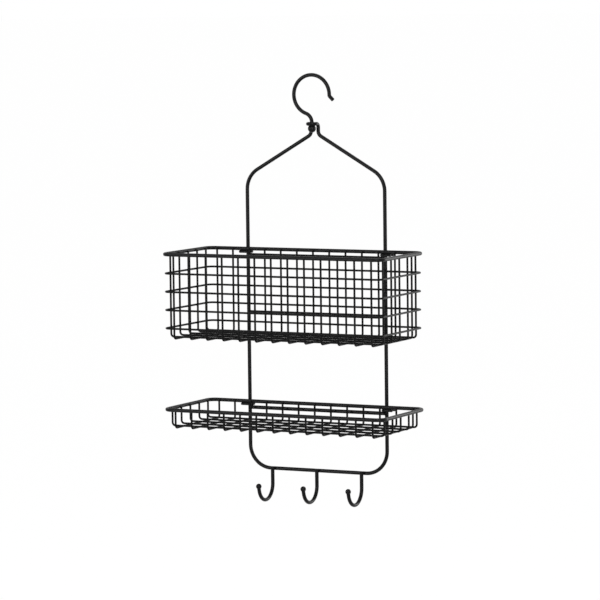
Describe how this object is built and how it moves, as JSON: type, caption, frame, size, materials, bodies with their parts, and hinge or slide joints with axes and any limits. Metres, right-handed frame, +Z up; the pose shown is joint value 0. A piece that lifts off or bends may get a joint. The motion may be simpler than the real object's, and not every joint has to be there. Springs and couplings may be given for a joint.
{
  "type": "hanging shower caddy",
  "caption": "Two-tier wire shower caddy that hangs from a swivelling top hook, with lift-off baskets clipped to a looped frame and small robe hooks below.",
  "frame": {"origin": "centre of the top hook's circle", "axes": "+X along the baskets to the right seen from the front, +Y to the back, +Z up"},
  "size_m": [0.3362, 0.1504, 0.5954],
  "materials": {
    "hook_wire": "satin black coating",
    "frame_wire": "satin black coating",
    "basket_wire": "satin black coating",
    "mesh_wire": "satin black coating",
    "ball_cap": "satin black coating"
  },
  "bodies": {
    "hook": {"top_hook": "hook_wire", "stop_ball": "ball_cap"},
    "frame": {"frame_loop": "frame_wire", "upper_crossbar": "frame_wire", "upper_rest_bar": "frame_wire", "lower_crossbar": "frame_wire", "lower_rest_bar": "frame_wire", "robe_hook_left": "frame_wire", "robe_hook_middle": "frame_wire", "robe_hook_right": "frame_wire", "robe_ball_left": "ball_cap", "robe_ball_middle": "ball_cap", "robe_ball_right": "ball_cap"},
    "upper_basket": {"upper_rim": "basket_wire", "upper_ring_1": "mesh_wire", "upper_ring_2": "mesh_wire", "upper_ring_3": "mesh_wire", "upper_ring_4": "mesh_wire", "upper_cross_wire_1": "mesh_wire", "upper_cross_wire_2": "mesh_wire", "upper_cross_wire_3": "mesh_wire", "upper_cross_wire_4": "mesh_wire", "upper_cross_wire_5": "mesh_wire", "upper_cross_wire_6": "mesh_wire", "upper_cross_wire_7": "mesh_wire", "upper_cross_wire_8": "mesh_wire", "upper_cross_wire_9": "mesh_wire", "upper_cross_wire_10": "mesh_wire", "upper_cross_wire_11": "mesh_wire", "upper_cross_wire_12": "mesh_wire", "upper_cross_wire_13": "mesh_wire", "upper_long_wire_1": "mesh_wire", "upper_long_wire_2": "mesh_wire", "upper_long_wire_3": "mesh_wire", "upper_long_wire_4": "mesh_wire", "upper_long_wire_5": "mesh_wire", "upper_clip_left": "basket_wire", "upper_clip_right": "basket_wire"},
    "lower_basket": {"lower_rim": "basket_wire", "lower_cross_wire_1": "mesh_wire", "lower_cross_wire_2": "mesh_wire", "lower_cross_wire_3": "mesh_wire", "lower_cross_wire_4": "mesh_wire", "lower_cross_wire_5": "mesh_wire", "lower_cross_wire_6": "mesh_wire", "lower_cross_wire_7": "mesh_wire", "lower_cross_wire_8": "mesh_wire", "lower_cross_wire_9": "mesh_wire", "lower_cross_wire_10": "mesh_wire", "lower_cross_wire_11": "mesh_wire", "lower_cross_wire_12": "mesh_wire", "lower_cross_wire_13": "mesh_wire", "lower_long_wire_1": "mesh_wire", "lower_long_wire_2": "mesh_wire", "lower_long_wire_3": "mesh_wire", "lower_long_wire_4": "mesh_wire", "lower_long_wire_5": "mesh_wire", "lower_clip_left": "basket_wire", "lower_clip_right": "basket_wire"}
  },
  "joints": [
    {"name": "hook_swivel", "type": "hinge", "parent": "hook", "child": "frame", "pos_m": [0, 0, -0.04005], "axis": [0, 0, 1], "continuous": true},
    {"name": "upper_basket_lift", "type": "slide", "parent": "frame", "child": "upper_basket", "axis": [0, 0, 1], "range_m": [0, 0.084]},
    {"name": "lower_basket_lift", "type": "slide", "parent": "frame", "child": "lower_basket", "axis": [0, 0, 1], "range_m": [0, 0.093]}
  ]
}
